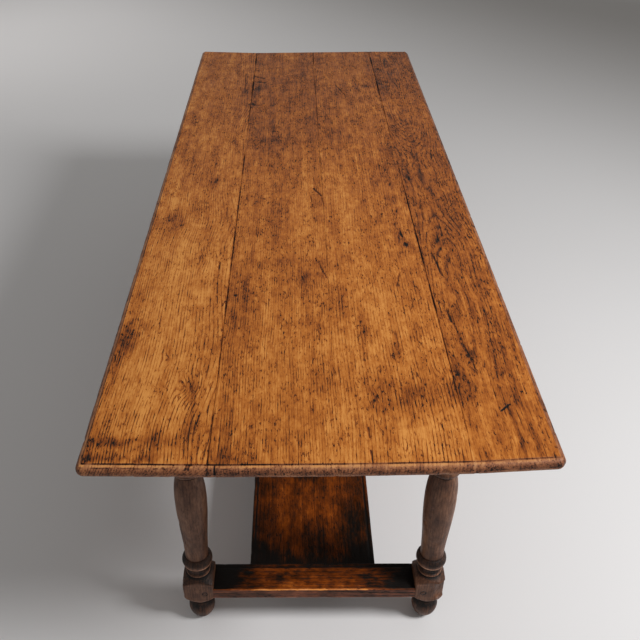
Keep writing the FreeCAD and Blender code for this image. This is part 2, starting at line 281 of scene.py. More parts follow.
def oakFinish(name, oak):
    # A tone from 0, pale, to 1, black, goes through a ramp of browns: tone = base + fibre streaks
    # + early wood of each ring + pores + blotches + bands + mottle + patina + specks + the piece's own marks
    material, kit, place = startMaterial(name)
    # the mark's three values, dark, stain and worn, also carry the pieces' painted shade and painted
    # highlights
    marks = kit.node("Attribute", {"attribute_name": "mark"}, None, "Vector")
    dark, stain, worn = [kit.node("SeparateXYZ", None, {0: marks}, k) for k in range(3)]
    ring, lines = [kit.node("Attribute", {"attribute_name": label}, None, "Fac")
                   for label in ("ring", "lines")]
    fibre, fine, dash, breaks, patina, blotch, band, mottle = [
        place.noise(alongGrain(oak["grain"], across, along), detail, roughness)
        for across, along, detail, roughness in oakNoise.values()]
    turn = kit.math("FRACT", ring / oak["ringStep"] + (fibre - 0.5) * 0.16)
    early = kit.math("MAXIMUM", 1 - turn.step(0.06, 0.38), turn.step(0.88, 1.0))
    early = early * (breaks.step(0.4, 0.62) * 0.85 + 0.15)
    pore = (fine + stain * 0.045).step(0.545, 0.63) * (early * 0.7 + 0.3)
    speck = (dash + stain * 0.03).step(0.57, 0.65) * (mottle.step(0.38, 0.6) * 0.8 + 0.2)
    black = (dark * (fine * 1.2 + 0.4)).step(0.1, 0.85)
    tone = ((fibre - 0.5) * oak["fibre"] + early * (lines * 0.33 + oak["rings"]) + pore * oak["pores"]
            + (blotch - 0.5) * oak["blotch"] + (band - 0.5) * oak["bands"] + (mottle - 0.5) * oak["mottle"]
            + (patina - 0.5) * oak["patina"] + speck * oak["specks"]
            + stain * 0.3 + black * oak["blackness"] + oak["base"])
    colour = kit.node("ValToRGB", {"stops": oak["ramp"]}, {"Fac": tone})
    rubbed = kit.node("HueSaturation", None,
                      {"Saturation": oak["wornSaturation"], "Value": oak["wornValue"], "Color": colour})
    rough = (black + pore * 0.5 + speck * 0.5) * 0.2 + (mottle - 0.5) * 0.3 + oak["rough"]
    height = fibre * 0.25 - pore * 0.6 - early * 0.3 - speck * 0.5 - black * 0.8 + mottle * 0.3
    normal = kit.node("Bump", None,
                      {"Strength": oak["bump"], "Distance": 0.0008, "Height": height})
    return endMaterial(material, kit, {
        "Base Color": colour.mixTo(worn, rubbed), "Roughness": rough, "Normal": normal,
        "Specular IOR Level": oak["shine"]})


topOak = {
    "grain": "y", "ringStep": 6.0, "base": 0.21, "fibre": 0.5, "rings": 0.08, "pores": 0.42, "blotch": 0.46,
    "bands": 0.5, "mottle": 0.38, "patina": 1.0, "specks": 0.52, "blackness": 0.6, "rough": 0.47,
    "bump": 0.55, "shine": 0.2, "wornSaturation": 0.84, "wornValue": 0.7,
    "ramp": [(0, 212, 143, 70), (.28, 180, 107, 41), (.48, 150, 81, 26), (.68, 108, 53, 15),
             (.86, 56, 28, 10), (1, 16, 9, 5)],
}
# the legs' worn colour is much brighter: it carries the painted highlights on the lips along with rubbed
# wear
legOak = dict(
    topOak, grain="z", base=0.43, bands=0.2, rings=0.1, pores=0.2, blotch=0.36, mottle=0.4, specks=0.16,
    rough=0.43, shine=0.21, wornSaturation=0.95, wornValue=2.5,
    ramp=[(0, 146, 107, 80), (.3, 106, 72, 52), (.5, 80, 51, 36), (.7, 55, 34, 23), (.88, 31, 18, 12),
          (1, 12, 8, 6)])
boardOak = dict(
    topOak, base=0.49, rings=0.14, blotch=0.4, mottle=0.52, patina=0.72, rough=0.42, shine=0.16,
    wornSaturation=0.86, wornValue=1.08,
    ramp=[(0, 232, 152, 76), (.12, 176, 98, 34), (.28, 132, 64, 16), (.48, 95, 43, 9), (.68, 60, 27, 6),
          (.85, 30, 14, 4), (1, 8, 4, 2)])
stretcherOak = dict(boardOak, grain="x")
frameOakLong = dict(
    topOak, base=0.36, blotch=0.36, mottle=0.35, rough=0.62, specks=0.15, wornSaturation=0.7, wornValue=0.8,
    ramp=[(0, 154, 106, 70), (.35, 114, 73, 46), (.6, 86, 53, 34), (.82, 55, 34, 23), (1, 18, 12, 9)])
frameOakCross = dict(frameOakLong, grain="x")
finishes = {
    "top": oakFinish("waxed_oak_top", topOak),
    "leg": oakFinish("dark_oak_turned", legOak),
    "board": oakFinish("foot_worn_oak_board", boardOak),
    "stretcher": oakFinish("foot_worn_oak_rail", stretcherOak),
    "frameLong": oakFinish("dry_oak_long", frameOakLong),
    "frameCross": oakFinish("dry_oak_cross", frameOakCross),
}
print("oak finishes ready:", len(finishes))


# The top: four planks

plankTop = {
    "over": 751.0, "under": 728.0, "side": 400.0, "length": 2200.0, "cornerRadius": 14.0,
    "stepInset": 11.0, "noseTop": 748.8, "noseDepth": 12.0, "lowerInset": 6.0,
    "scratchInset": 4.4, "crestInset": 7.5, "fieldInsets": (10.5, 13),
    "across": 2.2, "along": 8.0, "alongNear": 3.0, "nearShare": 0.15,
    "split": (-174, 1.7),  # in the front nose: place across and half width
    # end lines: y at the corners and at the three joints
    "endPlaces": [-400, -186, 29.5, 246, 400],
    "frontEnd": [-1106.6, -1110, -1108.6, -1104.1, -1093.2],
    "backEnd": [1107.2, 1090.4, 1099.9, 1110, 1110],
    # how dark and open each joint is along its length, where below zero it is filled and pale
    "joints": {
        -186: ([-1110, -1000, -500, 90, 150, 190, 230, 300, 420, 800, 1110],
               [.75, .85, .75, .7, .4, -.3, .4, .7, .75, .7, .6]),
        29.5: ([-1110, -480, -200, 0, 260, 300, 440, 600, 850, 900, 1110],
               [.08, .15, .32, .38, .38, .5, .55, .4, .4, .55, .55]),
        246: ([-1110, -1075, -1050, -960, -860, -500, -60, 60, 130, 210, 300, 540, 800, 1110],
              [-.6, -.3, .4, .7, .85, .85, .75, .5, -.4, .3, .75, .75, .7, .6]),
    },
    # growth rings of each plank: pith place across, its depth under the top and how much that depth drifts,
    # and how close together the rings are
    "planks": [
        {"node": "left_plank", "from": -400, "to": -186.1, "pith": (-110, 165, 22), "close": 1.45,
         "tone": 0.0, "seed": 11},
        {"node": "left_middle_plank", "from": -185.9, "to": 29.4, "pith": (-480, 60, 18), "close": 1.25,
         "tone": 0.22, "seed": 23},
        {"node": "right_middle_plank", "from": 29.6, "to": 245.9, "pith": (560, 70, 18), "close": 0.95,
         "tone": 0.12, "seed": 37},
        {"node": "right_plank", "from": 246.1, "to": 400, "pith": (300, 42, 26), "close": 1.0,
         "tone": 0.4, "seed": 51},
    ],
}
leftJoint, _, rightJoint = plankTop["joints"]
edgeInsets = np.array([
    0, .12, .45, 1, 1.8, 2.9, 4.3, 6, 7.8, 9.3, 10.3, 10.8, 11, 11.15, 11.4, 11.9, 12.8, 14])
jointInsets = np.array([0, .2, .5, .95, 1.5, 2.2, 3.2])

# Round and oval marks on the top: x, y, half width, half length, strength
spots = [
    (-251, -460, 6.6, 12, 1.1), (-247, -907, 4, 8, .8), (-232, -907, 8, 13, .9), (3, -916, 6, 9, .3),
    (98, -934, 4, 7, .75), (159, -935, 16, 24, .4), (248, -866, 4, 12, .5), (243, -905, 5, 12, .45),
    (252, -938, 4, 10, .5), (236, -928, 5, 10, .5), (268, -894, 4, 10, .7), (262, -876, 3, 7, .5),
    (225, -877, 4, 6, .7), (292, -846, 5, 16, .6), (-191, -1024, 6, 20, .7), (-119, -1007, 4, 7, .6),
    (3, -712, 5, 9, .75), (-283, -829, 4, 6, .75), (289, -592, 4, 8, .65), (301, -592, 4, 8, .65),
    (248, -461, 4, 12, .6), (294, -378, 6.8, 20, .95), (219, -394, 6.8, 14, 1.0), (210, -352, 6.9, 18, 1.3),
    (153, -290, 5, 10, .5), (198, -296, 4, 14, .65), (214, -223, 4, 15, .7), (214, -168, 4, 16, .65),
    (214, -68, 4, 18, .7), (214, 160, 5, 22, .65), (170, 99, 4, 18, .55), (264, -29, 6, 24, .65),
    (298, -40, 6, 24, .6), (-252, -51, 5, 18, .7), (-252, 210, 6, 14, .6), (-213, 193, 6, 14, .6),
    (-269, 171, 5, 10, .5), (-211, -538, 4, 10, .6), (-208, 663, 6, 26, .5), (-158, 672, 9, 22, .4),
    (-186, 519, 7, 20, .35), (-77, 655, 7, 20, .4), (39, 674, 5, 12, .55), (209, 702, 6, 16, .5),
    (273, 672, 8, 20, .5), (114, 902, 12, 12, .35), (-13, 841, 9, 16, .35), (-258, 908, 9, 18, .4),
    (-330, 758, 10, 22, .4),
]
# Wide soft stains: x, y, half width, half length, strength
stains = [
    (-368, -780, 28, 60, 1.2), (-352, -285, 34, 40, .6), (-345, -1049, 54, 14, 1.3),
    (-384, -1084, 14, 12, 1.2), (-293, -1085, 16, 12, 1.1), (-338, -1082, 44, 9, .9),
    (-262, -1038, 26, 24, .8), (-155, -640, 36, 170, .5), (92, -740, 12, 55, .75),
    (362, -330, 40, 280, .45), (356, -200, 44, 130, .25), (-102, 221, 66, 110, .6), (-74, -474, 26, 46, .5),
    (-19, -538, 28, 60, .8), (153, -782, 11, 46, .85), (160, -925, 52, 42, .6), (250, -905, 14, 56, .45),
    (120, 640, 90, 120, .4), (-60, 780, 120, 160, .2), (230, 60, 40, 160, .4), (-210, 480, 34, 240, .35),
    (40, 250, 70, 150, .35), (-300, 60, 40, 120, .35), (310, -330, 30, 120, .15), (330, -960, 30, 60, .25),
    (-230, -1000, 30, 70, .45), (-150, -1080, 30, 40, .35), (60, -640, 40, 90, .3), (20, -880, 60, 50, .25),
    (-388, -930, 34, 130, .45), (-130, -900, 60, 200, .2), (330, 920, 90, 240, .3),
    (130, 940, 100, 150, .2),
]
# Pale worn places: x, y, half width, half length, strength
paleWear = [
    (-332, -178, 20, 56, .7), (-290, -700, 70, 170, .45), (-120, -850, 50, 150, .35),
    (160, -1040, 80, 60, .5), (110, -640, 60, 160, .35), (-300, -930, 90, 130, .4),
    (-10, -1060, 60, 50, .35), (20, -120, 90, 160, .3), (-320, -430, 60, 110, .4),
]
# Scratches, cracks and dark grain lines: x and y of both ends, half width, strength
streaks = [
    (268, -654, 292, -856, 1.6, .55), (-212, -477, -211, -506, 2.5, .7), (-213, -207, -214, -268, 2.0, .5),
    (-216, 838, -212, 662, 2.4, .5), (-210, 660, -146, 672, 5, .32), (-184, 872, -162, 862, 6, .5),
    (-184, 806, -150, 780, 6, .5), (-184, 746, -146, 735, 6, .5), (-190, 524, -160, 512, 6, .5),
    (188, 706, 250, 702, 5, .35), (271, -434, 281, -534, 2.6, .6), (277, -205, 274, -276, 3.0, .5),
    (270, -661, 272, -708, 2.8, .75), (306, -244, 309, -343, 2.0, .4), (3, -454, 28, -543, 1.8, .7),
    (6, -96, 25, -140, 3.0, .75), (25, -140, 33, -206, 2.0, .45), (-5, -124, 1, -178, 1.8, .5),
    (52, -410, 52, -504, 2.0, .35), (186, -524, 175, -577, 1.8, .6), (98, 719, 128, 613, 2.4, .6),
    (80, -1012, 81, -1038, 1.7, .85), (79, -1066, 80, -1096, 1.5, .85), (315, -972, 334, -955, 1.7, 1.0),
    (264, 884, 264, 900, 4.0, .6), (-226, -1080, -222, -930, 1.3, .35), (-172, -1090, -166, -980, 1.4, .45),
    (310, -1060, 318, -640, 1.4, .35), (336, -1070, 340, -520, 1.2, .3), (300, 210, 288, 20, 1.6, .3),
    (312, 180, 300, -20, 1.6, .28), (286, 640, 262, 240, 1.6, .4), (252, 772, 284, 738, 5, .4),
    (252, 728, 286, 700, 5, .4),
]


def ovalDistance(x, y, middleX, middleY, wide, long):
    # Distance from the middle of an oval, 1 on its outline
    return np.hypot((x - middleX) / wide, (y - middleY) / long)


def markTop(x, y, points):
    # Dark marks and stains at their places, with their outlines pulled about by noise
    driftX = noise(points, (16, 30, 16), 301) * 5
    driftY = noise(points, (16, 30, 16), 311) * 10
    broken = np.clip(0.85 + 0.6 * noise(points, (8, 14, 8), 331), 0.25, 1.2)
    pulledX, pulledY = x + driftX, y + driftY
    dark = np.zeros_like(x)
    stain = np.zeros_like(x)
    for spotX, spotY, wide, long, strength in spots:
        # a large knot is paler inside its dark ring
        far = ovalDistance(pulledX, pulledY, spotX, spotY, wide, long)
        hollow = 1 - 0.55 * bell(far, 0.4) * (wide >= 7)
        dark = np.maximum(dark, 0.85 * strength * (1 - smooth(0.15, 1.15, far)) * hollow * broken)
        stain += 0.7 * strength * bell(far, 1.9)
    for *oval, strength in stains:
        stain += strength * bell(ovalDistance(pulledX, pulledY, *oval), 1.0)
    for *oval, strength in paleWear:
        stain -= strength * bell(ovalDistance(x, y, *oval), 1.0)
    thinX = x + driftX * 0.15
    for x0, y0, x1, y1, half, strength in streaks:
        # distance from a straight run between the two ends
        length = np.hypot(x1 - x0, y1 - y0)
        runX, runY = (x1 - x0) / length, (y1 - y0) / length
        t = np.clip((thinX - x0) * runX + (y - y0) * runY, 0, length)
        away = np.hypot(thinX - x0 - t * runX, y - y0 - t * runY)
        dark = np.maximum(dark, strength * (1 - smooth(half * 0.5, half * 1.6, away)))
    return dark, stain


def endLine(x, places, values):
    # The end of the top: straight runs between the joints, with their bends eased by a moving mean
    return np.mean([np.interp(x + shift, places, values) for shift in (-24, -12, 0, 12, 24)], axis=0)


def roundCorner(a, b, radius):
    # Square corner to round one: the ring at inset min(a, b) becomes an arc about the corner's centre
    near = (a < radius) & (b < radius)
    small, large = np.minimum(a, b), np.maximum(a, b)
    arm = np.where(near, radius - small, 1.0)
    angle = math.pi / 4 * (radius - large) / arm
    roundSmall, roundLarge = radius - arm * np.cos(angle), radius - arm * np.sin(angle)
    newA = np.where(a <= b, roundSmall, roundLarge)
    newB = np.where(a <= b, roundLarge, roundSmall)
    return np.where(near, newA, a), np.where(near, newB, b)


def noseHeight(inset):
    # Height of the upper skin by distance from the rim: a thumb round, a small step, then the flat field
    top = plankTop
    turn = unit((top["stepInset"] - inset) / top["stepInset"])
    thumb = top["noseTop"] - top["noseDepth"] * (1 - np.sqrt(1 - turn ** 2))
    step = np.interp(inset, [10.8, 11, 11.15, 11.4, 11.9, 12.8],
                     [top["noseTop"] - .1, top["noseTop"], 749.6, 750.45, 750.85, top["over"]])
    return np.where(inset < 10.8, thumb, step)


def underHeight(inset):
    # Height of the lower skin: a quarter round up to the rim
    top = plankTop
    turn = unit((top["lowerInset"] - inset) / top["lowerInset"])
    rise = top["noseTop"] - top["noseDepth"] - top["under"]
    return top["under"] + rise * (1 - np.sqrt(1 - turn ** 2))


def plankColumns(plank):
    # Places across the plank: close together at the moulded rim and at the joints
    top = plankTop
    leftSet = edgeInsets if plank["from"] == -top["side"] else jointInsets
    rightSet = edgeInsets if plank["to"] == top["side"] else jointInsets
    low, high = plank["from"] + leftSet, plank["to"] - rightSet[::-1]
    middle = np.linspace(low[-1], high[0], int((high[0] - low[-1]) / top["across"]) + 2)[1:-1]
    return np.concatenate([low, middle, high])


def plankPlan(plank):
    # Plan grid: x over the columns and y between the end lines, with the outer corners rounded and the rim
    # dented. Also the inset from the rim, and 1 where a side is nearer than an end
    top = plankTop
    columns = plankColumns(plank)
    rimCount, reach = len(edgeInsets), edgeInsets[-1]
    nearCount = int(top["length"] * top["nearShare"] / top["alongNear"])
    farCount = int(top["length"] * (1 - top["nearShare"]) / top["along"])
    share = np.concatenate([
        np.zeros(rimCount), np.linspace(0, top["nearShare"], nearCount, endpoint=False)[1:],
        np.linspace(top["nearShare"], 1, farCount, endpoint=False), np.ones(rimCount)])[:, None]
    offset = np.concatenate([
        edgeInsets, reach * (1 - 2 * share[rimCount:-rimCount, 0]), -edgeInsets[::-1]])[:, None]
    front, back = [endLine(columns, top["endPlaces"], top[end]) for end in ("frontEnd", "backEnd")]
    y = front * (1 - share) + back * share + offset
    x = np.broadcast_to(columns, y.shape)
    atFront = y - front < back - y
    endInset = np.minimum(y - front, back - y)
    sign = int(plank["from"] == -top["side"]) - int(plank["to"] == top["side"])  # left 1, right -1
    outer = -sign * top["side"]
    sideInset = (x - outer) * sign if sign else np.full_like(y, top["length"])
    inset = np.maximum(np.minimum(sideInset, endInset), 0)
    sideInset, endInset = roundCorner(sideInset, endInset, top["cornerRadius"])
    if sign:
        x = outer + sign * sideInset
    y = np.where(atFront, front + endInset, back - endInset)
    flat = np.stack([x, y, np.full_like(y, top["over"])], -1)
    splitAt, splitWide = top["split"]
    dent = np.clip(0.35 + 0.35 * noise(flat, 30, plank["seed"] + 7), 0.04, None)
    dent += 1.2 * smooth(0.55, 1.0, noise(flat, 22, plank["seed"] + 17))
    dent += 1.8 * bell(x - splitAt, splitWide) * (y < 0)
    x = x + sign * dent * unit(1 - sideInset / reach)
    y = y + np.where(atFront, 1, -1) * dent * unit(1 - endInset / reach)
    return columns, x, y, flat, inset, smooth(-3, 3, endInset - sideInset)


def jointState(columns, y, flat):
    # How far each place is from the nearest joint, and how dark and open that joint is there
    toJoint, openness = np.full_like(y, plankTop["length"]), np.zeros_like(y)
    flutter = 0.8 + 0.4 * noise(flat * (0, 1, 0), (1, 90, 1), 71)
    for place, (runs, values) in plankTop["joints"].items():
        away = np.abs(columns - place)
        openness = np.where(away < toJoint, np.interp(y, runs, values) * flutter, openness)
        toJoint = np.minimum(toJoint, away)
    return toJoint, openness


def plankRings(plank, x, y, z, flat):
    # Growth rings: distance from a drifting pith, bent round the larger knots
    seed = plank["seed"]
    drift = noise(flat * (0, 1, 0), (1, 520, 1), seed)
    sway = noise(flat * (0, 1, 0), (1, 400, 1), seed + 5)
    pithX, depth, swing = plank["pith"]
    far = np.hypot(x - pithX - 6 * sway, z - plankTop["over"] + depth + swing * drift)
    far += 1.3 * noise(flat, (46, 420, 46), seed + 9)
    far += 0.9 * noise(flat, (15, 110, 15), seed + 19, 2)
    for spotX, spotY, wide, long, strength in spots:
        if strength >= .7:
            far += 7 * bell(ovalDistance(x, y, spotX, spotY, wide * 2.2, long * 2.6), 1.0)
    return far * plank["close"]


def ringLines(x, y, field):
    # How strongly the rings show: most on the left plank and beside the joints
    leftLines = (1.0 + 0.4 * smooth(-850, -1050, y)) * (0.3 + 0.7 * smooth(250, -750, y))
    middleLines = 0.5 + 0.35 * bell(x + 150, 45) + 0.35 * bell(x - 200, 60)
    middleLines = middleLines * (0.35 + 0.85 * smooth(-300, -1050, y))
    rightLines = 0.42 - 0.3 * smooth(-550, -950, y) + 0.1 * bell(y - 120, 260) + 0.3 * bell(y + 400, 160)
    farLines = 0.7 * bell(x + 175, 38) + 0.55 * bell(x - 35, 36) + 0.6 * bell(x - 262, 34)
    lines = np.where(x < leftJoint, leftLines, middleLines) + farLines * smooth(150, 450, y)
    return np.where(x > rightJoint, rightLines, lines) * (0.35 + 0.65 * field)


def noseMarks(seed, x, y, flat, inset, onSide, rim):
    # The nose, inwards from the rim: a brown round, a scratched line on the left, a rubbed crest with
    # a painted highlight, then the quirk in painted shade and grime; along the two sides it is browner
    # and plainer. Gives the dark marks and the crest's highlight
    splitAt, splitWide = plankTop["split"]
    patch = noise(flat, 40, seed + 29)
    crumble = noise(flat, 9, seed + 31)
    leftward = 0.2 + 0.8 * smooth(-40, -230, x)
    rightward = smooth(240, 290, x) * (y < 0)
    # painted shade in the quirk at the foot of the step, broken by patchy grime
    quirk = bell(inset - plankTop["stepInset"], 1.2)
    grimeAndShade = np.clip(0.7 + 0.5 * patch + 0.3 * crumble, 0.2, 1) * (0.6 + 0.4 * leftward - 0.25 * rightward)
    grimeAndShade = grimeAndShade * (1 - 0.6 * onSide)
    scratch = unit(0.55 + 0.8 * patch + 0.6 * crumble) * bell(inset - plankTop["scratchInset"], 1.2)
    scratch = scratch * leftward * (1 - onSide)
    chips = smooth(0.45, 0.8, noise(flat, 8, seed + 41)) * rim * (0.4 + 0.6 * leftward)
    chips = chips * (1 - 0.8 * onSide)
    split = bell(x - splitAt, splitWide) * rim * (1 - quirk) * (y < 0)
    # painted highlight along the rubbed crest of the thumb round
    crestHighlight = np.clip(0.7 + 0.5 * patch + 0.45 * crumble, 0, 1.2) * bell(inset - plankTop["crestInset"], 1.9)
    crestHighlight = crestHighlight * (0.7 + 0.3 * leftward) * (1 - 0.75 * onSide) * (1 - 0.4 * rightward)
    return np.maximum.reduce([quirk * grimeAndShade, 0.95 * scratch, 0.75 * chips, split]), crestHighlight


def addPlank(plank):
    # Upper and lower skins over one plan grid, joined at the rim, with straight walls at the joints
    top = plankTop
    columns, x, y, flat, inset, onSide = plankPlan(plank)
    dark, stain = markTop(x, y, flat)
    toJoint, openness = jointState(columns, y, flat)
    gapping = unit(openness)
    inwards = np.where(columns < (plank["from"] + plank["to"]) / 2, 1, -1)
    distant = smooth(-400, 600, y)
    field = smooth(*top["fieldInsets"], inset)
    # the upper skin draws back from an open joint, and the lower one stays closed
    lowerX = x
    x = x + inwards * (0.45 + 0.8 * distant) * gapping * unit(1 - toJoint / 8) * field
    easing = 0.12 + 1.8 * gapping
    curl = unit((easing - toJoint) / easing)
    arris = easing * (1 - np.sqrt(1 - curl ** 2))
    wave = 0.45 + 0.45 * noise(flat, (120, 420, 120), plank["seed"] + 3)
    lower = underHeight(inset)
    upper = noseHeight(inset) - arris - np.clip(wave, 0.02, 1.2) * field - 1.1 * dark * field
    upper = np.maximum(upper, lower)
    ringUp, ringLow = [plankRings(plank, x, y, z, flat) for z in (upper, lower)]

    rim = 1 - field
    noseDark, crestHighlight = noseMarks(plank["seed"], x, y, flat, inset, onSide, rim)
    jointLine = bell(toJoint, 2.3 + 1.6 * distant) * gapping * (1 - 0.25 * distant)
    upperDark = np.maximum.reduce([dark * (0.4 + 0.6 * field), noseDark, jointLine])
    filled = unit(-openness) * bell(toJoint, 2.2 + 1.5 * distant)
    lowBand = 1 - smooth(0, 4.5, inset)
    # painted shade: the far half of the top is painted darker
    farHalfShade = 0.36 * smooth(-700, 500, y)
    # broad soft bands of the growth rings on the near end of the right plank
    bands = bell((ringUp / 17) % 1 - 0.5, 0.2) * (x > rightJoint) * smooth(-350, -800, y)
    # the crest's term here is a painted highlight
    upperStain = ((stain + farHalfShade + 0.38 * bands) * field + plank["tone"] - (1.6 + 1.6 * rim) * filled
                  + rim * (0.25 + 0.6 * lowBand + 0.15 * onSide - 1.9 * crestHighlight))
    upperWorn = rim * (0.85 - 0.6 * unit(crestHighlight)) + 0.4 * filled
    marks = np.stack([[upperDark, upperStain, upperWorn],
                      [0.1 * np.abs(wave), 0.3 + 0.3 * wave, np.full_like(x, 0.9)]])
    skins = np.array([[x, y, upper], [lowerX, y, lower]])
    lines = ringLines(x, y, field)

    index = np.arange(x.size).reshape(x.shape)
    under = np.where(inset <= 1e-9, index, index + x.size)  # both skins share the rim
    faces = [gridFaces(index), gridFaces(under)[:, ::-1]]
    if plank["from"] != -top["side"]:
        faces.append(gridFaces(np.stack([under[:, 0], index[:, 0]], 1)))
    if plank["to"] != top["side"]:
        faces.append(gridFaces(np.stack([index[:, -1], under[:, -1]], 1)))
    verts, marks = [np.moveaxis(part, 1, -1).reshape(-1, 3) for part in (skins, marks)]
    addPiece("plank_" + plank["node"].replace("_plank", ""), verts, np.concatenate(faces),
             np.stack([ringUp, ringLow]).ravel(), marks, finishes["top"], [plank["node"]],
             lines=np.stack([lines, 0.3 * lines]).ravel())


for plank in plankTop["planks"]:
    addPlank(plank)
print("top: four planks")


# Turned legs

legTurning = {
    "half": 35.0, "height": 728.0, "angles": 112, "rowStep": 2.3, "squarePower": 22, "blend": 0.5,
    "places": {"front_left_leg": (-264.5, -855), "front_right_leg": (264.5, -855),
               "back_left_leg": (-264.5, 855), "back_right_leg": (264.5, 855)},
    # arcs through three points (height, radius), from the floor up
    "arcs": [
        ((0, 10.5), (41.4, 30.5), (69, 21)), ((69.4, 24.5), (73, 24.9), (77, 24.5)),
        ((77, 24.5), (86, 35), (104, 50.75)), ((144, 50.75), (155, 35), (164, 24.9)),
        ((164, 24.9), (167.5, 27.7), (171, 24.9)), ((171, 24.9), (180.5, 23.1), (190, 28)),
        ((190, 28), (204.5, 34.3), (219, 28)), ((479.6, 23.5), (481, 23.4), (482.6, 23.5)),
        ((483, 24.9), (493, 33.6), (503, 24.9)), ((503, 24.9), (523.5, 22.8), (544, 24.9)),
        ((544, 24.9), (547.5, 27.7), (551, 24.9)), ((551, 24.9), (560, 35), (578, 50.75)),
    ],
    # painted shade on the block shoulders by leg; dirt round the stretcher pegs: place, height and radius
    "shoulderShade": {"front_left_leg": 1.0, "front_right_leg": 0.1}, "pegSeam": (249.7, 116.5, 5.4),
    # one low block has its outer front corner rubbed away to a slope
    "rubbed": {"node": "front_right_leg", "facing": -57, "reach": 33.9, "heights": (84, 96, 146, 158)},
    # bands of height with marks of their own: from, full, fading, to; the bands under the block, on the
    # shoulder, in the cove and on the ring's top hold painted shade
    "bands": {"shadeUnderBlock": (40, 58, 58, 78), "arcLip": (78, 90, 100, 110), "shoulder": (140, 150, 162, 165),
              "cove": (168, 172, 192, 196), "shadedRingTop": (202, 210, 219, 226), "lessDarkening": (214, 218, 300, 310)},
    # painted highlights on the lower lips of ring and bead
    "highlightLips": ((198, 2.3), (166.8, 1.3)),  # bright lower lips of ring and bead: height and half width
    "pith": (62, -38), "vaseFrom": 219.4, "vaseTo": 479,
    "vaseHeights": [0, .14, .29, .44, .58, .7, .8, .91, 1],
    "vaseRadii": [26.4, 27.1, 29.5, 31.9, 33.8, 34.3, 33.6, 30.5, 25.2],
}


def arcRadius(z, low, middle, high):
    # Radius on the circle through three points of (height, radius)
    (z0, r0), (z1, r1), (z2, r2) = low, middle, high
    around = np.array([[z1 - z0, r1 - r0], [z2 - z0, r2 - r0]], float)
    if abs(np.linalg.det(around)) < 1e-6:
        return np.interp(z, [z0, z1, z2], [r0, r1, r2])
    squares = 0.5 * np.array([z1 * z1 + r1 * r1, z2 * z2 + r2 * r2]) - 0.5 * (z0 * z0 + r0 * r0)
    centreZ, centreR = np.linalg.solve(around, squares)
    radius = math.hypot(z0 - centreZ, r0 - centreR)
    side = 1 if r1 > centreR else -1
    return centreR + side * np.sqrt(np.maximum(radius ** 2 - (z - centreZ) ** 2, 0))


def turnedRadius(z):
    # The lathe outline: arcs and the long vase, straight between them, outside the timber at the blocks
    leg = legTurning
    knots = sorted([point for arc in leg["arcs"] for point in (arc[0], arc[2])]
                   + [(leg["vaseFrom"], leg["vaseRadii"][0]), (leg["vaseTo"], leg["vaseRadii"][-1])])
    radius = np.interp(z, *np.array(knots, float).T)
    for low, middle, high in leg["arcs"]:
        radius = np.where((z >= low[0]) & (z <= high[0]), arcRadius(z, low, middle, high), radius)
    fit = np.polyfit(leg["vaseHeights"], leg["vaseRadii"], 6)
    part = (z - leg["vaseFrom"]) / (leg["vaseTo"] - leg["vaseFrom"])
    return np.where((part >= 0) & (part <= 1), np.polyval(fit, unit(part)), radius)


def legRows():
    # Even rows, with closer pairs at every change of the outline
    leg = legTurning
    keys = [point[0] for arc in leg["arcs"] for point in (arc[0], arc[2])]
    keys = np.array(keys + [leg["vaseFrom"], leg["vaseTo"]])
    even = np.arange(0, leg["height"] + 0.01, leg["rowStep"])
    even = even[np.abs(even[:, None] - keys).min(1) > 0.7]
    rows = np.concatenate([even, keys, keys - 0.5, keys + 0.5, [0, 0.5, 1.2, leg["height"]]])
    return np.unique(np.round(rows, 3).clip(0, leg["height"]))


